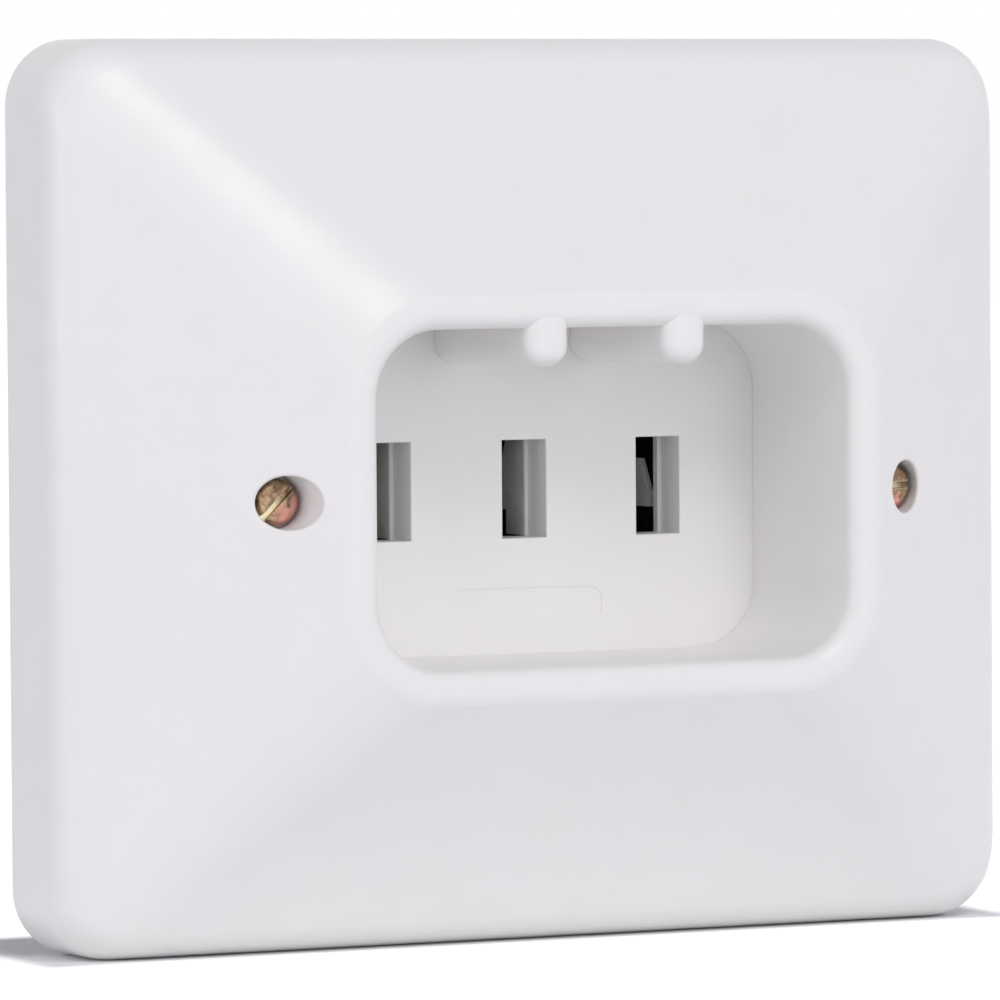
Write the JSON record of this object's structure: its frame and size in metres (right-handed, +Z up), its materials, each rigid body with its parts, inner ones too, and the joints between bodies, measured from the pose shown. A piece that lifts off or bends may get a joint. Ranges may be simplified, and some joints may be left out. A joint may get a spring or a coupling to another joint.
{
  "type": "cooker socket outlet",
  "caption": "Flush wall outlet for a cooker: a deep white sloping cover with a keyed rectangular plug recess, upright blade slots, and sprung contacts with screw terminals behind.",
  "frame": {"origin": "on the wall plane, in the middle between the wall screws, behind the middle of the recess", "axes": "+Z up the wall, +X to the right seen from the front, +Y into the wall; the front faces -Y"},
  "size_m": [0.1402, 0.0605, 0.12],
  "materials": {
    "white_moulding": "fine moulded satin gloss",
    "black_moulding": "matt moulded",
    "zinc_steel": "zinc plated, bluish",
    "yellow_steel": "zinc plated and yellow passivated",
    "tinned_contact": "tin plated, dull",
    "spring_steel": "bare rolled spring steel",
    "bare_brass": "bare turned brass",
    "nylon": "natural nylon"
  },
  "bodies": {
    "root": {"cover_plate": "white_moulding", "socket_insert": "white_moulding", "contact_carrier": "black_moulding", "mounting_frame": "zinc_steel", "cover_screw_left": "yellow_steel", "cover_screw_right": "yellow_steel", "screw_retainers": "nylon", "frame_screws": "zinc_steel", "insert_screws": "zinc_steel", "earth_link": "bare_brass", "earth_link_rivet": "bare_brass", "earth_link_screw": "zinc_steel", "contact_line_1": "tinned_contact", "backing_spring_line_1": "spring_steel", "terminal_block_line_1": "bare_brass", "clamp_plate_line_1": "zinc_steel", "terminal_screw_line_1": "zinc_steel", "contact_earth": "tinned_contact", "backing_spring_earth": "spring_steel", "terminal_block_earth": "bare_brass", "clamp_plate_earth": "zinc_steel", "terminal_screw_earth": "zinc_steel", "contact_line_2": "tinned_contact", "backing_spring_line_2": "spring_steel", "terminal_block_line_2": "bare_brass", "clamp_plate_line_2": "zinc_steel", "terminal_screw_line_2": "zinc_steel"}
  },
  "joints": []
}
